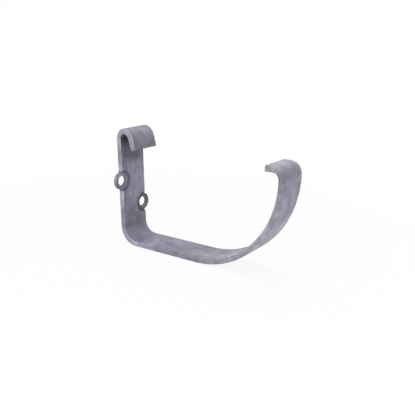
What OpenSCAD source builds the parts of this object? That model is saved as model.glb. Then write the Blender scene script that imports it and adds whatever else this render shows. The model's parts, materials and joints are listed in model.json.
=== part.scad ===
// Fascia gutter bracket, bent cold from one length of flat bar and then dip-galvanised.
// Frame: X runs out from the fascia, Y across the bar, Z up. The origin lies on the fascia face of the
// back leg, on the bar's centre line, midway between the two screw holes.

/* [Flat bar] */
// Width of the bar
bar_w = 25; // [20:1:40]
// Thickness of the bar
bar_t = 4; // [3:0.5:6]
// Radius of the bar's rolled edges
edge_r = 0.7; // [0.3:0.1:1]

/* [Back leg] */
// Straight length of the back leg, between its two bends
leg_len = 70.5; // [64:0.5:90]
// Inside radius of the bend between the back leg and the bottom
corner_r = 10; // [4:0.5:20]

/* [Gutter seat] */
// Straight length of the flat bottom
bottom_len = 59; // [20:1:100]
// Inside radius of the quarter-round front
front_r = 67; // [40:1:90]

/* [Nose] */
// Inside radius of the bend that turns the front over into the nose
nose_r = 4; // [2:0.5:8]
// Straight length of the nose, back over the seat
nose_len = 6; // [3:0.5:15]

/* [Hook] */
// Inside radius of the hook at the top of the back leg
hook_r = 4; // [2.5:0.5:6]
// Angle the hook turns through; at 180 its lip would hang straight down
hook_turn = 166.5; // [150:0.5:178]
// Straight length of the hook's lip
lip_len = 9.5; // [4:0.5:14]

/* [Screw ears] */
// Diameter of the screw holes
hole_d = 7.8; // [5:0.1:9]
// Width of the ring of metal round each hole
ear_rim = 3.2; // [2:0.2:5]
// Thickness the ears are pressed down to
ear_t = 2.6; // [1.5:0.1:2.8]
// Radius round the rim of each ear
ear_edge_r = 0.6; // [0.2:0.1:0.7]
// How far each hole's centre stands in from the bar's edge
ear_inset = 1.3; // [-1:0.1:3]
// Height between the two holes
ear_pitch = 21.6; // [19:0.1:30]
// Height of the point midway between the holes above the corner bend
ear_mid = 26.5; // [22:0.5:30]
// How far the wall of the pressed dish leans back, from its floor to the bar's face
dish_flare = 0.9; // [0.3:0.1:1.5]

/* [Hidden] */
$fn = 96;
quarter = 90;            // one quarter turn
edge_flats = 3;          // flats in each rolled corner of the bar
run_on = 10;             // angle that a bend's sweep runs on before it is cut off
over = 1;                // how far a cutter runs past the faces it cuts
hole_r = hole_d / 2;
ear_r = hole_r + ear_rim;
ear_y = bar_w / 2 - ear_inset;
leg_foot = -ear_mid;     // height of the leg's lower end, where the corner bend starts

// The bar's cross-section, centred. Each rolled corner is an arc drawn in a few flats, which keeps every
// joint between two lengths of the bar clean at any angle.
module bar_section() {
    polygon([for (corner = [0:3], step = [0:edge_flats])
        let (diagonal = quarter * (corner + 0.5), angle = quarter * (corner + step / edge_flats))
        [
            sign(cos(diagonal)) * (bar_t / 2 - edge_r) + edge_r * cos(angle),
            sign(sin(diagonal)) * (bar_w / 2 - edge_r) + edge_r * sin(angle)
        ]]);
}

// A straight length of bar up Z; the children carry on from its end
module straight(len) {
    linear_extrude(len) bar_section();
    translate([0, 0, len]) children();
}

// The bar swept through an angle round an axis at the origin
module swept(centre_r, turn) {
    rotate([90, 0, 0]) rotate_extrude(angle = turn) translate([centre_r, 0]) bar_section();
}

// A quarter bend towards the gutter side; the children carry on from its end
module quarter_bend(inside_r) {
    centre_r = inside_r + bar_t / 2;
    translate([-centre_r, 0, 0]) {
        swept(centre_r, quarter);
        rotate([0, -quarter, 0]) translate([centre_r, 0, 0]) children();
    }
}

// A bend through any angle, swept too far and cut off square where the children carry on
module bend(inside_r, turn) {
    centre_r = inside_r + bar_t / 2;
    translate([-centre_r, 0, 0]) {
        difference() {
            swept(centre_r, turn + run_on);
            rotate([0, -turn, 0]) translate([0, -bar_w, 0]) cube(2 * bar_w);
        }
        rotate([0, -turn, 0]) translate([centre_r, 0, 0]) children();
    }
}

// Puts its children in the frame of one ear: centred on the hole, z up from the fascia face
module at_ear(side) {
    translate([0, side * ear_y, -side * ear_pitch / 2]) rotate([0, 90, 0]) children();
}

// The pressed-out ear, a thin disc with a rounded rim, flush with the fascia face
module ear_disc() {
    rotate_extrude() {
        square([ear_r - ear_edge_r, ear_t]);
        translate([0, ear_edge_r]) square([ear_r, ear_t - 2 * ear_edge_r]);
        for (z = [ear_edge_r, ear_t - ear_edge_r]) translate([ear_r - ear_edge_r, z]) circle(ear_edge_r);
    }
}

// What the press takes out of the bar's face over the ear: a round dish with a leaning wall
module dish() {
    slope = dish_flare / (bar_t - ear_t);
    top = bar_t - ear_t + over;
    translate([0, 0, ear_t]) cylinder(h = top, r1 = ear_r, r2 = ear_r + slope * top);
}

// The straight of the back leg, with one ear pressed out of each edge
module back_leg() {
    difference() {
        union() {
            translate([bar_t / 2, 0, leg_foot]) straight(leg_len);
            for (side = [-1, 1]) at_ear(side) ear_disc();
        }
        for (side = [-1, 1]) at_ear(side) {
            dish();
            translate([0, 0, -over]) cylinder(h = bar_t + 2 * over, r = hole_r);
        }
    }
}

// Corner, flat bottom, quarter-round front and nose, in one run down from the leg's foot
module seat() {
    translate([bar_t / 2, 0, leg_foot]) rotate([0, 180, 0])
        quarter_bend(corner_r) straight(bottom_len) quarter_bend(front_r) quarter_bend(nose_r)
            straight(nose_len);
}

// The hook that the leg's top is rolled into, with its lip leaning out over the gutter
module hook() {
    translate([bar_t / 2, 0, leg_foot + leg_len]) mirror([1, 0, 0])
        bend(hook_r, hook_turn) straight(lip_len);
}

module bracket() {
    color("lightslategray") {
        back_leg();
        seat();
        hook();
    }
}

bracket();
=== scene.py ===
"""Fascia gutter bracket, cold-bent from flat bar and dip-galvanised, with the plain studio it stands in."""

import json
import math

import bmesh
import bpy
import numpy as np
from bpy.props import FloatProperty, FloatVectorProperty, PointerProperty
from mathutils import Matrix, Vector


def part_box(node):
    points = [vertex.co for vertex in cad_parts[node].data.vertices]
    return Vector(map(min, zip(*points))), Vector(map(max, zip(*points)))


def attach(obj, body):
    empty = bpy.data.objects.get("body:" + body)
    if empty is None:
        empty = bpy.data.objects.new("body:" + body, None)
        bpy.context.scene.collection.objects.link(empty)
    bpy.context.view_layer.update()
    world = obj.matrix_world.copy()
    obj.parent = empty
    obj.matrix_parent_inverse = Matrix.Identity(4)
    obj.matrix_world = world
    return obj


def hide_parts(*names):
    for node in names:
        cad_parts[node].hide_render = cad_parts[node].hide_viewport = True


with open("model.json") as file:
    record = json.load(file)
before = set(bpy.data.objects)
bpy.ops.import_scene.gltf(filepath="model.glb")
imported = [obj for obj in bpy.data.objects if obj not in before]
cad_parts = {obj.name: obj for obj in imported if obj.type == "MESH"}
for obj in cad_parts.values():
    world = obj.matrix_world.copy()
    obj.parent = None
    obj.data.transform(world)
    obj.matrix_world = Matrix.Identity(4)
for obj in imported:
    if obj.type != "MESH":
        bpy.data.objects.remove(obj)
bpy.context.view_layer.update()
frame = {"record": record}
LOWEST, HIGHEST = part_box("bracket")
MOUNTS = {mount["name"]: mount for mount in frame["record"]["mounts"]}
EARS = [MOUNTS[name]["pos_m"] for name in ("upper_screw_hole", "lower_screw_hole")]
HOLE_R = MOUNTS["upper_screw_hole"]["dims"]["r_mm"] / 1000
EAR_T = MOUNTS["upper_screw_hole"]["dims"]["length_mm"] / 1000

bl_info = {
    "name": "Fascia gutter bracket",
    "version": (1, 0, 0),
    "blender": (4, 5, 0),
    "location": "View3D > Sidebar > Gutter bracket",
    "description": "Forms a galvanised gutter bracket with pressed screw ears, and a plain studio",
    "category": "Object",
}


def length_property(name, description, default):
    """A length in metres, shown in the scene's units."""
    return FloatProperty(
        name=name,
        description=description,
        default=default,
        min=0.0,
        precision=5,
        unit="LENGTH",
        subtype="DISTANCE",
    )


def colour_property(name, description, default):
    """A plain red, green and blue colour."""
    return FloatVectorProperty(
        name=name, description=description, default=default, size=3, min=0.0, max=1.0, subtype="COLOR"
    )


def angle_property(name, description, degrees, **limits):
    """An angle given in degrees and kept in radians."""
    return FloatProperty(
        name=name,
        description=description,
        default=math.radians(degrees),
        unit="ROTATION",
        subtype="ANGLE",
        **limits,
    )


def power_property(name, description, default):
    """A lamp's power in watts."""
    return FloatProperty(name=name, description=description, default=default, min=0.0, unit="POWER")


class BracketSizes(bpy.types.PropertyGroup):
    """The bar, its bends and its screw ears."""

    bar_width: length_property("Bar width", "Width of the flat bar", 0.025)
    bar_thickness: length_property("Bar thickness", "Thickness of the flat bar", 0.004)
    edge_radius: length_property("Edge radius", "Radius of the bar's rolled and zinc-coated edges", 0.0004)
    edge_bulge: length_property(
        "Edge bulge", "How far the inside of a tight bend swells past the bar's edge", 0.00035
    )
    corner_radius: length_property("Corner radius", "Inside radius between the back leg and the bottom", 0.010)
    front_radius: length_property("Front radius", "Inside radius of the quarter-round front", 0.067)
    nose_radius: length_property("Nose radius", "Inside radius of the bend into the nose", 0.004)
    nose_length: length_property("Nose length", "Straight length of the nose", 0.006)
    hook_radius: length_property("Hook radius", "Inside radius of the hook", 0.004)
    hook_turn: angle_property("Hook turn", "Angle the hook turns through", 166.5, min=0.0)
    lip_length: length_property("Lip length", "Straight length of the hook's lip", 0.0098)
    ear_radius: length_property(
        "Ear radius", "Outside radius of the ring round each screw hole", HIGHEST.y - abs(EARS[0][1])
    )
    ear_thickness: length_property("Ear thickness", "Thickness the ears are pressed down to", EAR_T)
    dish_flare: length_property("Dish flare", "How far the wall of the pressed dish leans back", 0.0009)
    facet: length_property("Facet", "Width of the facets the skin is made of", 0.00046)


class ZincFinish(bpy.types.PropertyGroup):
    """The dull zinc coat."""

    pale: colour_property("Pale zinc", "Rubbed edges and fresh zinc", (0.462, 0.451, 0.526))
    middle: colour_property("Zinc", "Most of the coat", (0.302, 0.294, 0.352))
    dark: colour_property("Dull zinc", "Weathered patches", (0.188, 0.182, 0.223))
    roughness: FloatProperty(
        name="Roughness", description="Mean roughness of the coat", default=0.56, min=0.0, max=1.0
    )
    relief: length_property("Relief", "Height of the coat's lumps and drag lines", 0.00012)
    shift: FloatVectorProperty(
        name="Shift",
        description="Moves the coat's pattern along and across the bar",
        default=(-0.471, -0.034, 0.177),
        size=3,
        unit="LENGTH",
        subtype="TRANSLATION",
    )


class StudioSettings(bpy.types.PropertyGroup):
    """The camera, the lamps and the floor."""

    target: FloatVectorProperty(
        name="Target",
        description="Point the camera looks at",
        default=(0.07595, 0.0, -0.00136),
        size=3,
        unit="LENGTH",
        subtype="TRANSLATION",
    )
    distance: length_property("Distance", "From the camera to its target", 0.4036)
    azimuth: angle_property("Azimuth", "Round the bracket, from its side", 35.96)
    elevation: angle_property("Elevation", "Above the horizon", 16.478)
    roll: angle_property("Roll", "Turn of the camera round its own axis", -0.467)
    lens: FloatProperty(name="Lens", description="Focal length", default=48.255, unit="CAMERA")
    floor_colour: colour_property("Floor", "Colour of the floor", (0.9, 0.9, 0.9))
    ambient: FloatProperty(
        name="Ambient", description="Strength of the light from all round", default=0.4, min=0.0
    )
    key: power_property("Key lamp", "Power of the low lamp at the bracket's side", 3.15)
    top: power_property("Top lamp", "Power of the lamp overhead", 3.9)


# ---------------------------------------------------------------- the bar's line


class Straight:
    """A straight length of the bar's centre line, in the XZ plane. side is 1 if the bar bends to its left."""

    def __init__(self, at, heading, side, length):
        self.at, self.along, self.length = at, heading, length
        self.inward = side * np.array((-heading[1], heading[0]))
        self.bend = 0.0

    def measure(self, x, z):
        """Distance along the run, and distance from its line towards the inside of the bends."""
        dx, dz = x - self.at[0], z - self.at[1]
        return dx * self.along[0] + dz * self.along[1], dx * self.inward[0] + dz * self.inward[1]

    def end(self):
        """Where the run ends, and its heading there."""
        return self.at + self.along * self.length, self.along


class Bend:
    """A bend of the bar's centre line round an axis across the bar."""

    def __init__(self, at, heading, side, radius, turn):
        inward = side * np.array((-heading[1], heading[0]))
        self.centre, self.radius, self.side, self.turn = at + inward * radius, radius, side, turn
        self.start, self.heading, self.length = -inward, heading, radius * turn
        self.bend = 1.0 / radius

    def measure(self, x, z):
        """Distance along the bend's line, and distance from that line towards the bend's centre."""
        dx, dz = x - self.centre[0], z - self.centre[1]
        dot = dx * self.start[0] + dz * self.start[1]
        cross = self.side * (self.start[0] * dz - self.start[1] * dx)
        middle = self.turn / 2
        c, s = math.cos(middle), math.sin(middle)
        angle = np.arctan2(cross * c - dot * s, dot * c + cross * s)
        return (angle + middle) * self.radius, self.radius - np.hypot(dx, dz)

    def end(self):
        """Where the bend ends, and the bar's heading there."""
        c, s = math.cos(self.turn), math.sin(self.turn) * self.side
        turn = np.array(((c, -s), (s, c)))
        return self.centre + turn @ self.start * self.radius, turn @ self.heading


def lay(at, heading, side, steps):
    """Runs of the bar's line, each carrying on from the end of the one before."""
    runs = []
    for make, *measures in steps:
        runs.append(make(at, heading, side, *measures))
        at, heading = runs[-1].end()
    return runs


# ---------------------------------------------------------------- the bracket's form


def join(a, b, radius):
    """The nearer of two distances, with a fillet where they meet."""
    h = np.maximum(radius - np.abs(a - b), 0.0) / radius
    return np.minimum(a, b) - h * h * radius * 0.25


def cut(a, b, radius):
    """What is left of a without b, with the new edge eased."""
    return -join(-a, b, radius)


def rounded(a, b, radius):
    """A section bounded by two faces, with its edge rounded."""
    a, b = a + radius, b + radius
    return np.hypot(np.maximum(a, 0.0), np.maximum(b, 0.0)) + np.minimum(np.maximum(a, b), 0.0) - radius


def rise(value, start, width):
    """0 up to the start, 1 from a width past it, and even between."""
    return np.clip((value - start) / width, 0.0, 1.0)


class BracketForm:
    """Distances to the bracket's skin, negative inside, and places along its bar."""

    SWELL_RADIUS = 0.006  # bends of this radius or tighter swell fully at the edges
    SWELL_ENDS = 0.002  # length of bar over which the swelling starts and stops
    RIM_RADIUS = 0.0007  # round the rim of each ear
    EAR_FILLET = 0.0009  # where an ear grows out of the bar
    CUT_RADIUS = 0.0006  # along the lips of the dishes and the screw holes
    NEAR_SLACK = 1e-6  # how far a point may lie past a run's start or end and still belong to it

    def __init__(self, sizes):
        self.half_t, self.half_w = sizes.bar_thickness / 2, sizes.bar_width / 2
        self.edge, self.bulge = sizes.edge_radius, sizes.edge_bulge
        self.ear_r, self.ear_t = sizes.ear_radius, sizes.ear_thickness
        self.slope = sizes.dish_flare / (sizes.bar_thickness - sizes.ear_thickness)
        self.leg_reach = 3.5 * self.half_t  # the ears belong to the back leg, which lies well within this
        half = self.half_t
        leg_top = HIGHEST.z - sizes.hook_radius - sizes.bar_thickness
        leg_foot = LOWEST.z + sizes.corner_radius + sizes.bar_thickness
        seat_length = HIGHEST.x - sizes.front_radius - sizes.corner_radius - 2 * sizes.bar_thickness
        top = np.array((half, leg_top))
        quarter = math.pi / 2
        self.seat = lay(
            top,
            np.array((0.0, -1.0)),
            1,
            (
                (Straight, leg_top - leg_foot),
                (Bend, sizes.corner_radius + half, quarter),
                (Straight, seat_length),
                (Bend, sizes.front_radius + half, quarter),
                (Bend, sizes.nose_radius + half, quarter),
                (Straight, sizes.nose_length),
            ),
        )
        self.hook = lay(
            top,
            np.array((0.0, 1.0)),
            -1,
            (
                (Bend, sizes.hook_radius + half, sizes.hook_turn),
                (Straight, sizes.lip_length),
            ),
        )

    def section(self, x, z):
        """Distance to the bar's edge-on outline, place along the bar, depth in it, and swell of its edges."""
        found = np.full(np.broadcast(x, z).shape, 1.0)
        place, depth, swell = np.zeros_like(found), np.zeros_like(found), np.zeros_like(found)
        for runs, way in ((self.seat, 1.0), (self.hook, -1.0)):
            start = 0.0
            for run in runs:
                s, n = run.measure(x, z)
                across = np.abs(n) - self.half_t
                past = s - run.length
                last = run is runs[-1]
                distance = rounded(across, past, self.edge) if last else across
                here = (s > -self.NEAR_SLACK) & (last | (past < self.NEAR_SLACK)) & (distance < found)
                found = np.where(here, distance, found)
                place = np.where(here, way * (start + np.clip(s, 0.0, run.length)), place)
                depth = np.where(here, np.clip(n, -self.half_t, self.half_t), depth)
                ends = np.clip(np.minimum(s, -past) / self.SWELL_ENDS, 0.0, 1.0)
                pull = self.bulge * min(run.bend * self.SWELL_RADIUS, 1.0) * ends * ends * (3 - 2 * ends)
                swell = np.where(here, pull * np.clip(n / self.half_t, -1.0, 1.0), swell)
                start += run.length
        return found, place, depth, swell

    def with_ears(self, distance, x, y, z):
        """Presses the two ears out of the bar and pierces them, as far out as the back leg reaches."""
        bare = distance
        for _, ear_y, ear_z in EARS:
            out = np.hypot(y - ear_y, z - ear_z)
            disc = rounded(out - self.ear_r, np.abs(x - self.ear_t / 2) - self.ear_t / 2, self.RIM_RADIUS)
            wall = (out - self.ear_r - self.slope * (x - self.ear_t)) / math.hypot(1.0, self.slope)
            dish = cut(wall, x - self.ear_t, self.CUT_RADIUS)
            distance = cut(join(distance, disc, self.EAR_FILLET), dish, self.CUT_RADIUS)
            distance = cut(distance, out - HOLE_R, self.CUT_RADIUS)
        distance = np.maximum(distance, -x)
        return np.where(x < self.leg_reach, distance, bare)

    def pressed(self, points):
        """1 on the wall of each dish, less on an ear's flat ring, more under the upper ear's outer half, 0
        elsewhere: where the ears are painted darker, partly as stain and partly as painted shade.
        """
        x, y, z = points.T
        worked = np.zeros(len(points))
        for _, ear_y, ear_z in EARS:
            past_rim = np.hypot(y - ear_y, z - ear_z) - self.ear_r
            reach = rise(-past_rim, -0.0013, 0.0006)
            wall = rise(past_rim, -0.0016, 0.0012)
            # the lower ear is darker over its whole ring, as painted shade; the upper ear gets little on its
            # ring, and painted shade at the foot of its outer half, which faces down
            upper = ear_z > 0
            ring = 0.08 if upper else 0.5
            outward = rise(np.abs(y), abs(ear_y), self.ear_r)
            under = np.clip((ear_z - z) / self.ear_r + 0.35, 0.0, 1.3)
            underside_shade = 2.0 * outward * under if upper else 0.0
            worked = np.maximum(worked, reach * (ring + (1.0 - ring) * wall + underside_shade))
        return worked * (x < self.leg_reach) * rise(x, 0.0004, 0.001)

    def distance(self, points):
        """Distances at points."""
        x, y, z = points.T
        section, _, _, swell = self.section(x, z)
        bar = rounded(section, np.abs(y) - self.half_w - swell, self.edge)
        return self.with_ears(bar, x, y, z)

    def grid(self, xs, ys, zs):
        """Distances on a grid, with the ears worked out only on the leg they belong to."""
        section, _, _, swell = self.section(xs[:, None], zs[None, :])
        across = np.abs(ys)[None, :, None] - self.half_w - swell[:, None, :]
        values = rounded(section[:, None, :], across, self.edge)
        near = np.searchsorted(xs, self.leg_reach)
        reach = max(abs(ear[2]) for ear in EARS) + 2 * self.ear_r
        low, high = np.searchsorted(zs, (-reach, reach))
        part = (slice(0, near), slice(None), slice(low, high))
        values[part] = self.with_ears(
            values[part], xs[:near, None, None], ys[None, :, None], zs[None, None, low:high]
        )
        return values


# ---------------------------------------------------------------- the bracket's skin

EVENING = 0.6  # how far a point moves towards the middle of its neighbours in one round


def slope_of(form, points, step=1e-5):
    """Outward direction of the form at each point."""
    slope = np.empty_like(points)
    for axis in range(3):
        offset = np.zeros(3)
        offset[axis] = step
        slope[:, axis] = form.distance(points + offset) - form.distance(points - offset)
    return slope / np.maximum(np.linalg.norm(slope, axis=1), 1e-12)[:, None]


def skin(form, low, high, facet):
    """Points of the form's skin, one in each cell of a grid that it crosses, and its four-sided faces."""
    axes = [np.arange(a - 2.5 * facet, b + 3 * facet, facet) for a, b in zip(low, high)]
    values = form.grid(*axes)
    inside = values < 0
    corners = [(i, j, k) for i in (0, 1) for j in (0, 1) for k in (0, 1)]
    count = np.array(values.shape) - 1

    def shifted(array, i, j, k):
        return array[i : count[0] + i, j : count[1] + j, k : count[2] + k]

    full = sum(shifted(inside, *corner).astype(np.int8) for corner in corners)
    crossed = (full > 0) & (full < 8)
    cells = np.argwhere(crossed)
    index = np.full(crossed.shape, -1, dtype=np.int64)
    index[crossed] = np.arange(len(cells))

    total, hits = np.zeros((len(cells), 3)), np.zeros(len(cells))
    for a in corners:
        for axis in range(3):
            if a[axis]:
                continue
            b = tuple(1 if n == axis else a[n] for n in range(3))
            va = values[tuple((cells + a).T)]
            vb = values[tuple((cells + b).T)]
            crossing = (va < 0) != (vb < 0)
            share = np.where(crossing, va / np.where(crossing, va - vb, 1.0), 0.0)
            spot = np.array(a, float)[None, :] + share[:, None] * (np.array(b) - np.array(a))[None, :]
            total += spot * crossing[:, None]
            hits += crossing
    origin = np.array([axis[0] for axis in axes])
    points = origin + (cells + total / hits[:, None]) * facet

    faces = []
    for axis in range(3):
        u, v = (axis + 1) % 3, (axis + 2) % 3
        start = inside.take(range(inside.shape[axis] - 1), axis)
        stop = inside.take(range(1, inside.shape[axis]), axis)
        for state, turned in ((start & ~stop, False), (~start & stop, True)):
            spots = np.argwhere(state)
            ring = []
            for du, dv in ((1, 1), (0, 1), (0, 0), (1, 0)):
                cell = spots.copy()
                cell[:, u] -= du
                cell[:, v] -= dv
                ring.append(index[tuple(cell.T)])
            quads = np.stack(ring, 1)
            faces.append(quads[:, ::-1] if turned else quads)
    return points, np.concatenate(faces)


def settled(form, points, faces, facet, rounds=4):
    """The points evened out along the skin, their outward directions, and how sharply it bends there."""
    edges = np.concatenate([faces[:, (n, (n + 1) % 4)] for n in range(4)])
    degree = np.bincount(edges[:, 0], minlength=len(points))

    def mean_of_neighbours(values):
        near = [np.bincount(edges[:, 0], column[edges[:, 1]], minlength=len(points)) for column in values.T]
        return np.stack(near, 1) / degree[:, None]

    for _ in range(rounds):
        out = slope_of(form, points)
        points = points - out * form.distance(points)[:, None]
        shift = mean_of_neighbours(points) - points
        points = points + EVENING * (shift - out * (shift * out).sum(1)[:, None])
    for _ in range(2):
        out = slope_of(form, points)
        points = points - out * form.distance(points)[:, None]
    sharp = -((mean_of_neighbours(points) - points) * out).sum(1)[:, None] / facet
    for _ in range(2):
        sharp = 0.5 * (sharp + mean_of_neighbours(sharp))
    return points, slope_of(form, points), sharp[:, 0]


# ---------------------------------------------------------------- the zinc


class Nodes:
    """A material's or world's nodes, laid out from left to right."""

    def __init__(self, owner):
        owner.use_nodes = True
        self.tree = owner.node_tree
        self.tree.nodes.clear()

    def add(self, kind, settings=None, **inputs):
        """A node of a kind. Its inputs go by name, with _ for each space, or by number, as _0."""
        node = self.tree.nodes.new(kind)
        node.location = (220 * (len(self.tree.nodes) % 8), -260 * (len(self.tree.nodes) // 8))
        for name, value in (settings or {}).items():
            setattr(node, name, value)
        for name, value in inputs.items():
            key = int(name[1:]) if name[0] == "_" else name.replace("_", " ")
            if isinstance(value, bpy.types.NodeSocket):
                self.tree.links.new(value, node.inputs[key])
            else:
                node.inputs[key].default_value = value
        return node

    def math(self, operation, a, b=0.0, clamp=False):
        """The result of an operation on one or two numbers."""
        return self.add("ShaderNodeMath", {"operation": operation, "use_clamp": clamp}, _0=a, _1=b).outputs[0]

    def vector(self, operation, *values):
        """The result of a vector operation on the values, in their order."""
        inputs = {f"_{number}": value for number, value in enumerate(values)}
        return self.add("ShaderNodeVectorMath", {"operation": operation}, **inputs).outputs[0]

    def product(self, first, *others):
        """All the values multiplied."""
        for other in others:
            first = self.math("MULTIPLY", first, other)
        return first

    def swing(self, value, weight):
        """How far a value that lies about 0.5 is to either side of it, times a weight."""
        return self.product(self.math("SUBTRACT", value, 0.5), weight)

    def remap(self, value, low, high, new_low, new_high):
        """The value's way from low to high, eased, between two new values."""
        node = self.add("ShaderNodeMapRange", {"interpolation_type": "SMOOTHSTEP"}, Value=value)
        for name, number in (("From Min", low), ("From Max", high), ("To Min", new_low), ("To Max", new_high)):
            node.inputs[name].default_value = number
        return node.outputs[0]

    def mark(self, name, output="Fac"):
        """What the skin's points carry under a name."""
        return self.add("ShaderNodeAttribute", {"attribute_name": name}).outputs[output]

    def rays(self, *kinds):
        """1 for rays of any of the kinds and 0 for all others."""
        path = self.add("ShaderNodeLightPath")
        found = path.outputs[kinds[0]]
        for kind in kinds[1:]:
            found = self.math("MAXIMUM", found, path.outputs[kind])
        return found

    def noise(self, vector, per_metre, detail, roughness, distortion=0.0):
        """Noise of so many lumps to the metre along, across and into the bar, about 0.5."""
        node = self.add(
            "ShaderNodeTexNoise",
            Vector=self.vector("MULTIPLY", vector, per_metre),
            Scale=1.0,
            Detail=detail,
            Roughness=roughness,
            Distortion=distortion,
        )
        return node.outputs["Fac"]

    def profile(self, place, stops, low=-0.04, high=0.28, span=0.8):
        """A value that follows stops along the bar, from low to high and within half the span of 0."""
        along = self.add("ShaderNodeMapRange", Value=place)
        along.inputs["From Min"].default_value, along.inputs["From Max"].default_value = low, high
        ramp = self.add("ShaderNodeValToRGB", Fac=along.outputs[0])
        ramp.color_ramp.interpolation = "EASE"
        marks = ramp.color_ramp.elements
        marks.remove(marks[1])
        for number, (spot, value) in enumerate(stops):
            where = (spot - low) / (high - low)
            mark = marks.new(where) if number else marks[0]
            mark.position, mark.color = where, (*((value / span + 0.5,) * 3), 1.0)
        grey = self.add("ShaderNodeSeparateColor", Color=ramp.outputs["Color"]).outputs[0]
        return self.swing(grey, span)


# Places along the bar are in metres from the top of the back leg. The hook lies on their negative side.
HOOK_TOP, LEG_TOP, LOWER_EAR, LEG_FOOT = -0.012, 0.0, 0.06, 0.07
CORNER, CORNER_END, BOTTOM, FRONT_TOP, NOSE_BEND = 0.082, 0.09, 0.1, 0.245, 0.258
EDGE_SIDE = (0.0114, 0.0124)  # from the middle of the bar to where its narrow edges start
EAR_SIDE = 0.008  # from the middle of the bar to well inside an ear

# the coat's noises: lumps to the metre along, across and into the bar, detail, roughness and distortion
NOISES = {
    "clouds": ((52.0, 62.0, 62.0), 4.0, 0.6, 0.4),
    "blotches": ((150.0, 210.0, 210.0), 5.0, 0.64),
    "streaks": ((26.0, 420.0, 420.0), 3.0, 0.6, 0.25),
    "drag": ((70.0, 1300.0, 1300.0), 2.0, 0.6),
    "grain": ((1900.0, 2300.0, 2300.0), 3.0, 0.7),
    "sheared": ((330.0, 900.0, 900.0), 3.0, 0.65),
}
CRYSTALS_PER_METRE, CRYSTAL_WARP, WARPS_PER_METRE = 260.0, 0.004, 320.0

# how much of each pattern goes into the coat's tone, its roughness and its relief
TONE_SHARES = {"clouds": 0.95, "blotches": 1.1, "streaks": 0.46, "drag": 0.4, "crystals": 0.14, "grain": 0.66}
ROUGHNESS_SHARES = {"blotches": 0.22, "streaks": 0.16}
RELIEF_SHARES = {"blotches": 1.0, "streaks": 0.8, "grain": 0.25, "drag": 0.3}

# painted light and shade on the bar's faces: how much paler, above 0, or darker the coat is made along the
# bar, for the light that falls there and the shadow its other parts cast
FACE_LIGHT_AND_SHADE = (
    (-0.027, -0.3),  # end of the hook's lip
    (-0.009, 0.0),  # top of the hook
    (0.005, 0.1),  # leg, behind the lip
    (0.014, -0.3),  # leg, just below the lip
    (0.024, 0.1),  # leg, above the upper ear
    (0.04, 0.0),  # foot of the upper ear
    (0.06, -0.1),  # foot of the lower ear
    (0.082, -0.1),  # corner
    (0.09, 0.2),  # start of the bottom
    (0.13, 0.0),  # bottom, two thirds along
    (0.165, 0.2),  # front, where it starts to rise
    (0.21, 0.4),  # front, half way round
    (0.25, 0.1),  # top of the front
    (0.26, 0.0),  # bend into the nose
    (0.267, 0.3),  # nose
)
# the same painted light and shade on its narrow edges
EDGE_LIGHT_AND_SHADE = (
    (-0.026, 0.2),  # end of the hook's lip
    (-0.005, 0.0),  # top of the hook
    (0.012, 0.1),  # leg, just below the lip
    (0.045, 0.3),  # leg, between the ears
    (0.065, -0.1),  # foot of the leg
    (0.08, 0.2),  # corner
    (0.1, -0.2),  # start of the bottom
    (0.18, -0.3),  # front, where it rises
    (0.267, -0.3),  # nose
)
# how much bluer, above 0, or browner it is
BLUE_TONES = (
    (0.0, 0.0),  # top of the leg
    (0.03, 0.04),  # upper ear
    (0.1, 0.04),  # start of the bottom
    (0.2, -0.05),  # front, half way round
    (0.24, 0.0),  # near the top of the front
)
PAINTED_LIGHT_STRENGTH = 1.25  # strength of the painted light and shade on the faces and edges
OCCLUSION_SHADE_REACH = 0.12  # metres round a spot in which the bar's other parts shelter it and so paint shade on it


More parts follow.
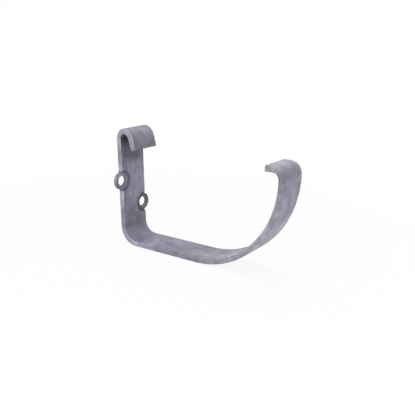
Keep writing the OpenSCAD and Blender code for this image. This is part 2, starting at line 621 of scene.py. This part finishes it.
class ZincCoat:
    """How the dull zinc lies on the bar, as nodes."""

    def __init__(self, nodes, finish):
        self.nodes, self.finish = nodes, finish
        run = nodes.mark("bar_run", "Vector")
        self.place, across, _ = nodes.add("ShaderNodeSeparateXYZ", Vector=run).outputs
        self.sharp, self.pressed = nodes.mark("edge"), nodes.mark("pressed")

        along = nodes.vector("ADD", run, finish.shift)
        self.patterns = {name: nodes.noise(along, *settings) for name, settings in NOISES.items()}
        self.patterns["crystals"] = self.crystals(along)

        side = nodes.remap(nodes.math("ABSOLUTE", across), *EDGE_SIDE, 0.0, 1.0)
        self.narrow = nodes.product(side, nodes.remap(self.pressed, 0.0, 0.25, 1.0, 0.0))
        self.lower_ear = nodes.remap(across, -EAR_SIDE, EAR_SIDE, 0.0, 1.0)
        # rubbed arrises, paler from wear and from a painted highlight along them
        self.wear_and_highlight = nodes.product(
            nodes.remap(self.sharp, 0.035, 0.11, 0.0, 1.0),
            nodes.remap(self.patterns["blotches"], 0.3, 0.7, 0.06, 0.34),
            nodes.remap(self.place, FRONT_TOP, NOSE_BEND, 1.0, 0.35),
        )

    def crystals(self, along):
        """A grey for each of the zinc's crystals, whose borders wander."""
        nodes = self.nodes
        warp = nodes.add("ShaderNodeTexNoise", Vector=along, Scale=WARPS_PER_METRE, Detail=2.0)
        bent = nodes.vector("MULTIPLY_ADD", warp.outputs["Color"], (CRYSTAL_WARP,) * 3, along)
        cells = nodes.add(
            "ShaderNodeTexVoronoi", {"feature": "F1"}, Vector=bent, Scale=CRYSTALS_PER_METRE, Randomness=1.0
        )
        return nodes.add("ShaderNodeSeparateColor", Color=cells.outputs["Color"]).outputs[0]

    def mixed(self, start, shares):
        """The start, raised and lowered by the patterns' shares."""
        for name, share in shares.items():
            start = self.nodes.math("ADD", start, self.nodes.swing(self.patterns[name], share))
        return start

    def tone(self):
        """From 0 for dull zinc to 1 for pale."""
        nodes, place, sharp = self.nodes, self.place, self.sharp
        # the pattern is calmer on the hook, in the corner and past it
        tone = nodes.product(
            self.mixed(0.0, TONE_SHARES),
            nodes.remap(place, HOOK_TOP, LEG_TOP, 0.7, 1.0),
            nodes.remap(place, LEG_FOOT, BOTTOM, 1.0, 0.84),
            nodes.remap(nodes.math("ABSOLUTE", nodes.math("SUBTRACT", place, CORNER)), 0.004, 0.022, 0.5, 1.0),
        )
        # the narrow edges are more broken up than the faces
        torn = nodes.swing(self.patterns["sheared"], nodes.remap(place, LOWER_EAR, CORNER_END, 0.4, 0.8))
        tone = nodes.math("ADD", tone, nodes.product(torn, self.narrow))
        # rubbed arrises are paler, and carry a painted highlight; the flanks beside them and the inner corners
        # are darker with painted shade
        flank = nodes.math(
            "SUBTRACT", nodes.remap(sharp, 0.006, 0.03, 0.0, 1.0), nodes.remap(sharp, 0.03, 0.06, 0.0, 1.0)
        )
        flank = nodes.product(flank, nodes.remap(self.patterns["sheared"], 0.35, 0.6, 0.06, 0.26))
        crease_shade = nodes.math("ADD", flank, nodes.remap(sharp, -0.004, -0.035, 0.0, 0.4))
        tone = nodes.math("ADD", tone, 0.5)
        tone = nodes.math("SUBTRACT", nodes.math("ADD", tone, self.wear_and_highlight), crease_shade, clamp=True)
        # the ears are painted darker, as stain and as painted shade, most on the lower one
        stain_and_shade = nodes.product(
            nodes.remap(self.patterns["clouds"], 0.35, 0.65, 0.26, 0.42),
            nodes.math("ADD", self.lower_ear, 0.45),
        )
        return nodes.math("SUBTRACT", tone, nodes.product(self.pressed, stain_and_shade), clamp=True)

    def brightness(self):
        """What painted shade in sheltered spots and on the ears, and painted light and shade along the bar,
        leave of the coat's colour.
        """
        nodes, place = self.nodes, self.place
        near = {"samples": 12, "only_local": True}
        # painted shade where the bar's other parts hide the light
        occlusion_shade = nodes.add("ShaderNodeAmbientOcclusion", near, Distance=OCCLUSION_SHADE_REACH).outputs["AO"]
        # painted shade on the ears, most on the lower one
        ear_shade = nodes.product(self.pressed, nodes.math("ADD", self.lower_ear, 0.25), 0.22)
        # painted light and shade along the bar, on its faces and its edges
        painted_light_and_shade = nodes.math(
            "ADD",
            nodes.product(nodes.profile(place, FACE_LIGHT_AND_SHADE), nodes.mark("outer")),
            nodes.product(nodes.profile(place, EDGE_LIGHT_AND_SHADE), self.narrow),
        )
        return nodes.product(
            nodes.remap(occlusion_shade, 0.15, 1.0, 0.3, 1.05),
            nodes.math("SUBTRACT", 1.0, ear_shade),
            nodes.math("ADD", nodes.product(painted_light_and_shade, PAINTED_LIGHT_STRENGTH), 1.0),
        )

    def colour(self):
        """The finish's three colours, spread by the tone, then darkened and lightened by painted shade and
        light, and tinted.
        """
        nodes, finish = self.nodes, self.finish
        spread = nodes.add("ShaderNodeValToRGB", Fac=self.tone())
        stops = spread.color_ramp.elements
        stops[0].position, stops[0].color = 0.12, (*finish.dark, 1.0)
        stops[1].position, stops[1].color = 0.95, (*finish.pale, 1.0)
        stops.new(0.5).color = (*finish.middle, 1.0)
        bright = self.brightness()
        blue = nodes.product(bright, nodes.math("ADD", nodes.profile(self.place, BLUE_TONES), 1.0))
        cast = nodes.add("ShaderNodeCombineXYZ", X=bright, Y=bright, Z=blue).outputs[0]
        return nodes.vector("MULTIPLY", spread.outputs["Color"], cast)

    def roughness(self):
        """The finish's roughness, less on rubbed edges."""
        rough = self.mixed(self.finish.roughness, ROUGHNESS_SHARES)
        return self.nodes.math("SUBTRACT", rough, self.nodes.product(self.wear_and_highlight, 0.25), clamp=True)

    def relief(self):
        """The coat's lumps and drag lines, as the shader's normal."""
        height, depth = self.mixed(0.0, RELIEF_SHARES), self.finish.relief
        return self.nodes.add("ShaderNodeBump", Height=height, Strength=1.0, Distance=depth).outputs["Normal"]


def zinc_material(finish):
    """Dull hot-dip zinc: clouds, faint crystals, drag lines along the bar, pale rubbed edges with a painted
    highlight, painted shade in nooks and sheltered spots, and painted light and shade along the bar.
    """
    material = bpy.data.materials.new("matt_zinc")
    nodes = Nodes(material)
    coat = ZincCoat(nodes, finish)
    shader = nodes.add(
        "ShaderNodeBsdfPrincipled",
        Base_Color=coat.colour(),
        Roughness=coat.roughness(),
        Normal=coat.relief(),
        Metallic=0.7,
        Specular_Tint=(0.45, 0.45, 0.47, 1.0),
        Specular_IOR_Level=0.35,
    )
    nodes.add("ShaderNodeOutputMaterial", Surface=shader.outputs[0])
    return material


def outer_share(outward):
    """1 on skin that faces forwards or up, and least on skin that faces back or down: how much of the painted
    light and shade along the bar each spot takes.
    """
    return 0.35 + 0.65 * rise(1.5 * outward[:, 0] + outward[:, 2], -0.7, 0.7)


def carry(mesh, name, values):
    """Gives each point of the mesh its own number or vector, for the zinc to read by name."""
    kind, field = ("FLOAT", "value") if values.ndim == 1 else ("FLOAT_VECTOR", "vector")
    mesh.attributes.new(name, kind, "POINT").data.foreach_set(field, values.astype(np.float32).ravel())


class BRACKET_OT_form_bracket(bpy.types.Operator):
    """Form the galvanised bracket in one piece: hook, back leg with two screw ears, bottom, front and nose"""

    bl_idname = "gutter_bracket.form_bracket"
    bl_label = "Form bracket"
    bl_options = {"REGISTER", "UNDO"}

    def execute(self, context):
        sizes = context.scene.bracket_sizes
        form = BracketForm(sizes)
        points, faces = skin(form, LOWEST, HIGHEST, sizes.facet)
        points, outward, sharp = settled(form, points, faces, sizes.facet)
        mesh = bpy.data.meshes.new("gutter_bracket")
        mesh.from_pydata(points.tolist(), [], faces.tolist())
        if mesh.validate():
            raise RuntimeError("the bracket's skin has faults")
        mesh.shade_smooth()
        mesh.normals_split_custom_set_from_vertices(outward.tolist())
        _, place, depth, _ = form.section(points[:, 0], points[:, 2])
        carry(mesh, "bar_run", np.stack((place, points[:, 1], depth), 1))
        # how sharply the skin bends, which places the painted highlight on rubbed edges and the painted shade
        # in inner corners
        carry(mesh, "edge", sharp)
        # where the ears are painted darker, as stain and as painted shade
        carry(mesh, "pressed", form.pressed(points))
        # how much of the painted light and shade along the bar each spot takes
        carry(mesh, "outer", outer_share(outward))
        mesh.materials.append(zinc_material(context.scene.zinc_finish))
        piece = bpy.data.objects.new("gutter_bracket", mesh)
        context.scene.collection.objects.link(piece)
        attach(piece, "root")
        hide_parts("bracket")
        return {"FINISHED"}


# ---------------------------------------------------------------- the studio

FLOOR_RADIUS = 40.0
FLOOR_GAP = 0.0001  # below the bracket's underside
KEY_LAMP = 0.55, (-0.02, -0.86, 0.32)  # width and place
TOP_LAMP = 0.6, (0.1, 0.1, 0.93)


def floor_material(colour):
    """Pale floor that looks white and still shows a faint shadow near the bracket."""
    material = bpy.data.materials.new("pale_floor")
    nodes = Nodes(material)
    seen = nodes.rays("Is Camera Ray", "Is Glossy Ray")
    place = nodes.add("ShaderNodeTexCoord").outputs["Object"]
    away = nodes.add("ShaderNodeVectorMath", {"operation": "LENGTH"}, _0=place).outputs["Value"]
    lit = nodes.remap(away, 0.1, 0.5, 0.88, 1.0)
    grain = nodes.add("ShaderNodeTexNoise", Scale=9.0, Detail=3.0)
    shade = nodes.add("ShaderNodeMix", {"data_type": "RGBA"})
    shade.inputs[0].default_value = 0.5
    nodes.tree.links.new(nodes.remap(grain.outputs["Fac"], 0.3, 0.7, 0.0, 1.0), shade.inputs[0])
    shade.inputs[6].default_value = (*(0.99 * c for c in colour), 1.0)
    shade.inputs[7].default_value = (*colour, 1.0)
    matt = nodes.add("ShaderNodeBsdfDiffuse", Color=shade.outputs[2])
    white = nodes.add("ShaderNodeEmission", Strength=1.015)
    share = nodes.product(seen, lit)
    mixed = nodes.add("ShaderNodeMixShader", _0=share, _1=matt.outputs[0], _2=white.outputs[0])
    nodes.add("ShaderNodeOutputMaterial", Surface=mixed.outputs[0])
    return material


def area_lamp(name, power, size, place, aim):
    """A round soft lamp, turned towards a point."""
    lamp = bpy.data.lights.new(name, "AREA")
    lamp.shape, lamp.size, lamp.energy = "DISK", size, power
    holder = bpy.data.objects.new(name, lamp)
    holder.location = place
    holder.rotation_euler = (Vector(aim) - Vector(place)).to_track_quat("-Z", "Y").to_euler()
    bpy.context.scene.collection.objects.link(holder)


class BRACKET_OT_set_studio(bpy.types.Operator):
    """Set the pale floor, the soft lamps and the camera round the bracket"""

    bl_idname = "gutter_bracket.set_studio"
    bl_label = "Set studio"
    bl_options = {"REGISTER", "UNDO"}

    def execute(self, context):
        scene, studio = context.scene, context.scene.studio_settings
        mesh = bpy.data.meshes.new("floor")
        disc = bmesh.new()
        bmesh.ops.create_circle(disc, cap_ends=True, segments=96, radius=FLOOR_RADIUS)
        disc.to_mesh(mesh)
        disc.free()
        mesh.materials.append(floor_material(studio.floor_colour))
        floor = bpy.data.objects.new("floor", mesh)
        floor.location = (0.0, 0.0, LOWEST.z - FLOOR_GAP)
        scene.collection.objects.link(floor)

        world = bpy.data.worlds.new("studio")
        scene.world = world
        nodes = Nodes(world)
        seen = nodes.rays("Is Camera Ray", "Is Glossy Ray", "Is Transmission Ray")
        strength = nodes.remap(seen, 0.0, 1.0, studio.ambient, 1.0)
        light = nodes.add("ShaderNodeBackground", Color=(1.0, 1.0, 1.0, 1.0), Strength=strength)
        nodes.add("ShaderNodeOutputWorld", Surface=light.outputs[0])

        middle = (LOWEST + HIGHEST) / 2
        area_lamp("key_lamp", studio.key, *KEY_LAMP, middle)
        area_lamp("top_lamp", studio.top, *TOP_LAMP, middle)

        scene.view_settings.view_transform = "Standard"
        camera = bpy.data.cameras.new("camera")
        camera.sensor_width, camera.lens, camera.clip_start = 36.0, studio.lens, 0.01
        holder = bpy.data.objects.new("camera", camera)
        azimuth, elevation, roll = studio.azimuth, studio.elevation, studio.roll
        right = Vector((math.cos(azimuth), math.sin(azimuth), 0.0))
        level = Vector((-math.sin(azimuth), math.cos(azimuth), 0.0))
        up = level * math.sin(elevation) + Vector((0.0, 0.0, math.cos(elevation)))
        back = right.cross(up)
        turned = right * math.cos(roll) + up * math.sin(roll), up * math.cos(roll) - right * math.sin(roll)
        place = Vector(studio.target) + back * studio.distance
        holder.matrix_world = Matrix.Translation(place) @ Matrix((*turned, back)).transposed().to_4x4()
        scene.collection.objects.link(holder)
        scene.camera = holder
        return {"FINISHED"}


# ---------------------------------------------------------------- the sidebar


class BRACKET_PT_sidebar(bpy.types.Panel):
    """Sizes, colours and steps of the gutter bracket"""

    bl_idname = "BRACKET_PT_sidebar"
    bl_label = "Gutter bracket"
    bl_space_type = "VIEW_3D"
    bl_region_type = "UI"
    bl_category = "Gutter bracket"

    def draw(self, context):
        scene = context.scene
        for group, operator in (
            (scene.bracket_sizes, None),
            (scene.zinc_finish, BRACKET_OT_form_bracket),
            (scene.studio_settings, BRACKET_OT_set_studio),
        ):
            column = self.layout.column(align=True)
            for name in type(group).__annotations__:
                column.prop(group, name)
            if operator:
                self.layout.operator(operator.bl_idname)


CLASSES = (
    BracketSizes,
    ZincFinish,
    StudioSettings,
    BRACKET_OT_form_bracket,
    BRACKET_OT_set_studio,
    BRACKET_PT_sidebar,
)


def register():
    for one in CLASSES:
        bpy.utils.register_class(one)
    bpy.types.Scene.bracket_sizes = PointerProperty(type=BracketSizes)
    bpy.types.Scene.zinc_finish = PointerProperty(type=ZincFinish)
    bpy.types.Scene.studio_settings = PointerProperty(type=StudioSettings)


def unregister():
    del bpy.types.Scene.studio_settings
    del bpy.types.Scene.zinc_finish
    del bpy.types.Scene.bracket_sizes
    for one in reversed(CLASSES):
        bpy.utils.unregister_class(one)


def main():
    register()
    bpy.ops.gutter_bracket.form_bracket()
    bpy.ops.gutter_bracket.set_studio()


if __name__ == "__main__":
    main()
